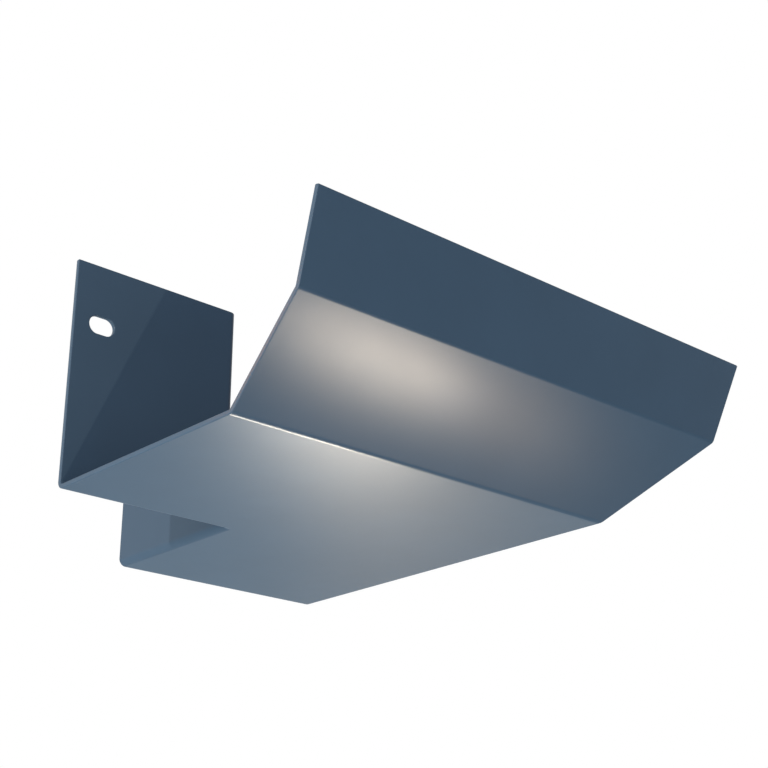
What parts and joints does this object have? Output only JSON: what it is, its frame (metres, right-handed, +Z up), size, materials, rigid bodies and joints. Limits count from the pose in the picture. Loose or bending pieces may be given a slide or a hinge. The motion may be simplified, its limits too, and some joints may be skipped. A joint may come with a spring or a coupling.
{
  "type": "external gutter corner",
  "caption": "Folded sheet metal gutter corner that carries an eaves gutter round the outside corner of a house, with a screw slot in each back plate.",
  "frame": {"origin": "where the upright edge of the house corner meets the level of the gutter's underside", "axes": "+Z up, +X away from the wall that leg 1 stands against, +Y away from the wall that leg 2 stands against; leg 1 runs along Y and leg 2 along X"},
  "size_m": [0.1786, 0.1786, 0.0755],
  "materials": {
    "painted_sheet": "satin blue-grey paint"
  },
  "bodies": {
    "root": {"gutter_corner": "painted_sheet"}
  },
  "joints": []
}
